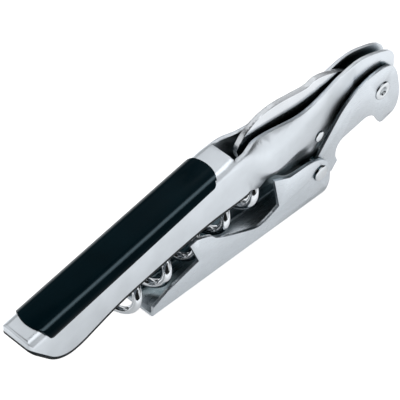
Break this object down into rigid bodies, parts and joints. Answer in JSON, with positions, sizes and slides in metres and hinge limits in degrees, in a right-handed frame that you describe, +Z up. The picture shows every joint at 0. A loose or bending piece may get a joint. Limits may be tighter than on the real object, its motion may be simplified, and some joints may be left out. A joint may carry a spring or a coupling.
{
  "type": "double-hinged lever corkscrew",
  "caption": "Folding waiter's corkscrew with a pressed steel handle, black grip inlay, foil knife, cap lifter link, stepped boot lever and worm.",
  "frame": {"origin": "middle of the length and width, on the surface that the folded tool stands on", "axes": "+X from the tail of the handle to its head, +Y along the pins, +Z up from the boot lever's flat underside; the near side with the rivet heads shown is -Y"},
  "size_m": [0.1264, 0.012, 0.0365],
  "materials": {
    "satin_steel": "satin",
    "lever_steel": "satin",
    "blade_steel": "ground",
    "rivet_steel": "polished",
    "worm_steel": "polished",
    "black_grip": "semi-gloss"
  },
  "bodies": {
    "handle": {"handle_body": "satin_steel", "grip_inlay": "black_grip", "head_pin": "rivet_steel", "head_washers": "rivet_steel", "worm_pin": "rivet_steel"},
    "knife": {"foil_knife": "blade_steel"},
    "link": {"cap_lifter_link": "lever_steel"},
    "boot": {"boot_lever": "lever_steel", "hinge_pin": "rivet_steel"},
    "worm": {"worm": "worm_steel"}
  },
  "joints": [
    {"name": "link_swing", "type": "hinge", "parent": "handle", "child": "link", "pos_m": [0.05655, 0, 0.0204], "axis": [0, -1, 0], "range_deg": [0, 100]},
    {"name": "boot_swing", "type": "hinge", "parent": "link", "child": "boot", "pos_m": [0.03325, 0, 0.00855], "axis": [0, -1, 0], "range_deg": [0, 55]},
    {"name": "worm_fold", "type": "hinge", "parent": "handle", "child": "worm", "pos_m": [0.0349, 0, 0.01835], "axis": [0, -1, 0], "range_deg": [0, 92]},
    {"name": "knife_fold", "type": "hinge", "parent": "handle", "child": "knife", "pos_m": [0.05655, 0, 0.0204], "axis": [0, 1, 0], "range_deg": [0, 160]}
  ],
  "couplings": [
    {"joint": "worm_fold", "follows": "link_swing", "ratio": 0.91}
  ]
}
